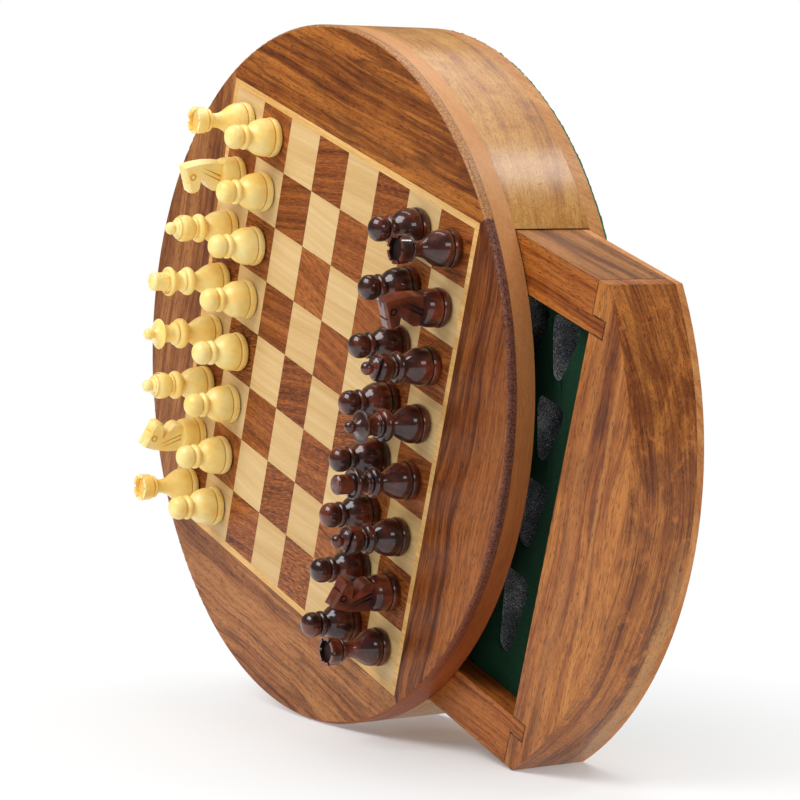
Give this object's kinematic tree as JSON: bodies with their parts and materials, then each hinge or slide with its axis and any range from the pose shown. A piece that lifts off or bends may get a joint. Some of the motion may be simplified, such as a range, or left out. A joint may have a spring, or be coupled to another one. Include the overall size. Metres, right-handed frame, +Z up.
{
  "type": "magnetic travel chess set",
  "caption": "Round wooden magnetic travel chess set: checkered board on a thick disc, a foam-lined drawer sliding out of its side, and felt-footed magnetic men.",
  "frame": {"origin": "centre of the underside of the base felt", "axes": "+Z up through the board, +X the way the drawer slides out, black men at +X and white men at -X, +Y along the ranks"},
  "size_m": [0.2776, 0.2286, 0.0711],
  "materials": {
    "face_wood": "satin lacquered hardwood",
    "block_wood": "satin lacquered hardwood, golden",
    "base_wood": "satin lacquered hardwood",
    "plywood": "bare plywood",
    "steel": "bare sheet",
    "dark_veneer": "satin lacquered dark veneer",
    "light_veneer": "satin lacquered light veneer",
    "base_felt": "green felt",
    "drawer_wood": "satin lacquered hardwood",
    "drawer_floor_wood": "satin lacquered pale wood",
    "foam": "charcoal foam",
    "liner_felt": "dark green felt",
    "white_men": "satin lacquered boxwood",
    "black_men": "glossy dark lacquer"
  },
  "bodies": {
    "case": {"face_segment_north": "face_wood", "face_segment_south": "face_wood", "face_segment_east": "face_wood", "face_segment_west": "face_wood", "board_core": "plywood", "steel_sheet": "steel", "dark_squares": "dark_veneer", "light_squares": "light_veneer", "border_strips": "light_veneer", "side_block_north": "block_wood", "side_block_south": "block_wood", "rear_block": "block_wood", "base_panel": "base_wood", "base_felt": "base_felt"},
    "drawer": {"drawer_front": "drawer_wood", "drawer_side_north": "drawer_wood", "drawer_side_south": "drawer_wood", "drawer_back": "drawer_wood", "drawer_bottom": "drawer_floor_wood", "foam_base": "foam", "pocket_foam": "foam", "pocket_liner": "liner_felt"},
    "white_pawn_1": {"white_pawn_1": "white_men"},
    "white_pawn_2": {"white_pawn_2": "white_men"},
    "white_pawn_3": {"white_pawn_3": "white_men"},
    "white_pawn_4": {"white_pawn_4": "white_men"},
    "white_pawn_5": {"white_pawn_5": "white_men"},
    "white_pawn_6": {"white_pawn_6": "white_men"},
    "white_pawn_7": {"white_pawn_7": "white_men"},
    "white_pawn_8": {"white_pawn_8": "white_men"},
    "white_rook_north": {"white_rook_north": "white_men"},
    "white_rook_south": {"white_rook_south": "white_men"},
    "white_knight_north": {"white_knight_north": "white_men"},
    "white_knight_south": {"white_knight_south": "white_men"},
    "white_bishop_north": {"white_bishop_north": "white_men"},
    "white_bishop_south": {"white_bishop_south": "white_men"},
    "white_queen": {"white_queen": "white_men"},
    "white_king": {"white_king": "white_men"},
    "black_pawn_1": {"black_pawn_1": "black_men"},
    "black_pawn_2": {"black_pawn_2": "black_men"},
    "black_pawn_3": {"black_pawn_3": "black_men"},
    "black_pawn_4": {"black_pawn_4": "black_men"},
    "black_pawn_5": {"black_pawn_5": "black_men"},
    "black_pawn_6": {"black_pawn_6": "black_men"},
    "black_pawn_7": {"black_pawn_7": "black_men"},
    "black_pawn_8": {"black_pawn_8": "black_men"},
    "black_rook_north": {"black_rook_north": "black_men"},
    "black_rook_south": {"black_rook_south": "black_men"},
    "black_knight_north": {"black_knight_north": "black_men"},
    "black_knight_south": {"black_knight_south": "black_men"},
    "black_bishop_north": {"black_bishop_north": "black_men"},
    "black_bishop_south": {"black_bishop_south": "black_men"},
    "black_queen": {"black_queen": "black_men"},
    "black_king": {"black_king": "black_men"}
  },
  "joints": [
    {"name": "drawer_slide", "type": "slide", "parent": "case", "child": "drawer", "axis": [1, 0, 0], "range_m": [-0.049, 0.113]},
    {"name": "white_pawn_1_lift", "type": "slide", "parent": "case", "child": "white_pawn_1", "axis": [0, 0, 1], "range_m": [0, 0.05]},
    {"name": "white_pawn_2_lift", "type": "slide", "parent": "case", "child": "white_pawn_2", "axis": [0, 0, 1], "range_m": [0, 0.05]},
    {"name": "white_pawn_3_lift", "type": "slide", "parent": "case", "child": "white_pawn_3", "axis": [0, 0, 1], "range_m": [0, 0.05]},
    {"name": "white_pawn_4_lift", "type": "slide", "parent": "case", "child": "white_pawn_4", "axis": [0, 0, 1], "range_m": [0, 0.05]},
    {"name": "white_pawn_5_lift", "type": "slide", "parent": "case", "child": "white_pawn_5", "axis": [0, 0, 1], "range_m": [0, 0.05]},
    {"name": "white_pawn_6_lift", "type": "slide", "parent": "case", "child": "white_pawn_6", "axis": [0, 0, 1], "range_m": [0, 0.05]},
    {"name": "white_pawn_7_lift", "type": "slide", "parent": "case", "child": "white_pawn_7", "axis": [0, 0, 1], "range_m": [0, 0.05]},
    {"name": "white_pawn_8_lift", "type": "slide", "parent": "case", "child": "white_pawn_8", "axis": [0, 0, 1], "range_m": [0, 0.05]},
    {"name": "white_rook_north_lift", "type": "slide", "parent": "case", "child": "white_rook_north", "axis": [0, 0, 1], "range_m": [0, 0.05]},
    {"name": "white_rook_south_lift", "type": "slide", "parent": "case", "child": "white_rook_south", "axis": [0, 0, 1], "range_m": [0, 0.05]},
    {"name": "white_knight_north_lift", "type": "slide", "parent": "case", "child": "white_knight_north", "axis": [0, 0, 1], "range_m": [0, 0.05]},
    {"name": "white_knight_south_lift", "type": "slide", "parent": "case", "child": "white_knight_south", "axis": [0, 0, 1], "range_m": [0, 0.05]},
    {"name": "white_bishop_north_lift", "type": "slide", "parent": "case", "child": "white_bishop_north", "axis": [0, 0, 1], "range_m": [0, 0.05]},
    {"name": "white_bishop_south_lift", "type": "slide", "parent": "case", "child": "white_bishop_south", "axis": [0, 0, 1], "range_m": [0, 0.05]},
    {"name": "white_queen_lift", "type": "slide", "parent": "case", "child": "white_queen", "axis": [0, 0, 1], "range_m": [0, 0.05]},
    {"name": "white_king_lift", "type": "slide", "parent": "case", "child": "white_king", "axis": [0, 0, 1], "range_m": [0, 0.05]},
    {"name": "black_pawn_1_lift", "type": "slide", "parent": "case", "child": "black_pawn_1", "axis": [0, 0, 1], "range_m": [0, 0.05]},
    {"name": "black_pawn_2_lift", "type": "slide", "parent": "case", "child": "black_pawn_2", "axis": [0, 0, 1], "range_m": [0, 0.05]},
    {"name": "black_pawn_3_lift", "type": "slide", "parent": "case", "child": "black_pawn_3", "axis": [0, 0, 1], "range_m": [0, 0.05]},
    {"name": "black_pawn_4_lift", "type": "slide", "parent": "case", "child": "black_pawn_4", "axis": [0, 0, 1], "range_m": [0, 0.05]},
    {"name": "black_pawn_5_lift", "type": "slide", "parent": "case", "child": "black_pawn_5", "axis": [0, 0, 1], "range_m": [0, 0.05]},
    {"name": "black_pawn_6_lift", "type": "slide", "parent": "case", "child": "black_pawn_6", "axis": [0, 0, 1], "range_m": [0, 0.05]},
    {"name": "black_pawn_7_lift", "type": "slide", "parent": "case", "child": "black_pawn_7", "axis": [0, 0, 1], "range_m": [0, 0.05]},
    {"name": "black_pawn_8_lift", "type": "slide", "parent": "case", "child": "black_pawn_8", "axis": [0, 0, 1], "range_m": [0, 0.05]},
    {"name": "black_rook_north_lift", "type": "slide", "parent": "case", "child": "black_rook_north", "axis": [0, 0, 1], "range_m": [0, 0.05]},
    {"name": "black_rook_south_lift", "type": "slide", "parent": "case", "child": "black_rook_south", "axis": [0, 0, 1], "range_m": [0, 0.05]},
    {"name": "black_knight_north_lift", "type": "slide", "parent": "case", "child": "black_knight_north", "axis": [0, 0, 1], "range_m": [0, 0.05]},
    {"name": "black_knight_south_lift", "type": "slide", "parent": "case", "child": "black_knight_south", "axis": [0, 0, 1], "range_m": [0, 0.05]},
    {"name": "black_bishop_north_lift", "type": "slide", "parent": "case", "child": "black_bishop_north", "axis": [0, 0, 1], "range_m": [0, 0.05]},
    {"name": "black_bishop_south_lift", "type": "slide", "parent": "case", "child": "black_bishop_south", "axis": [0, 0, 1], "range_m": [0, 0.05]},
    {"name": "black_queen_lift", "type": "slide", "parent": "case", "child": "black_queen", "axis": [0, 0, 1], "range_m": [0, 0.05]},
    {"name": "black_king_lift", "type": "slide", "parent": "case", "child": "black_king", "axis": [0, 0, 1], "range_m": [0, 0.05]}
  ]
}
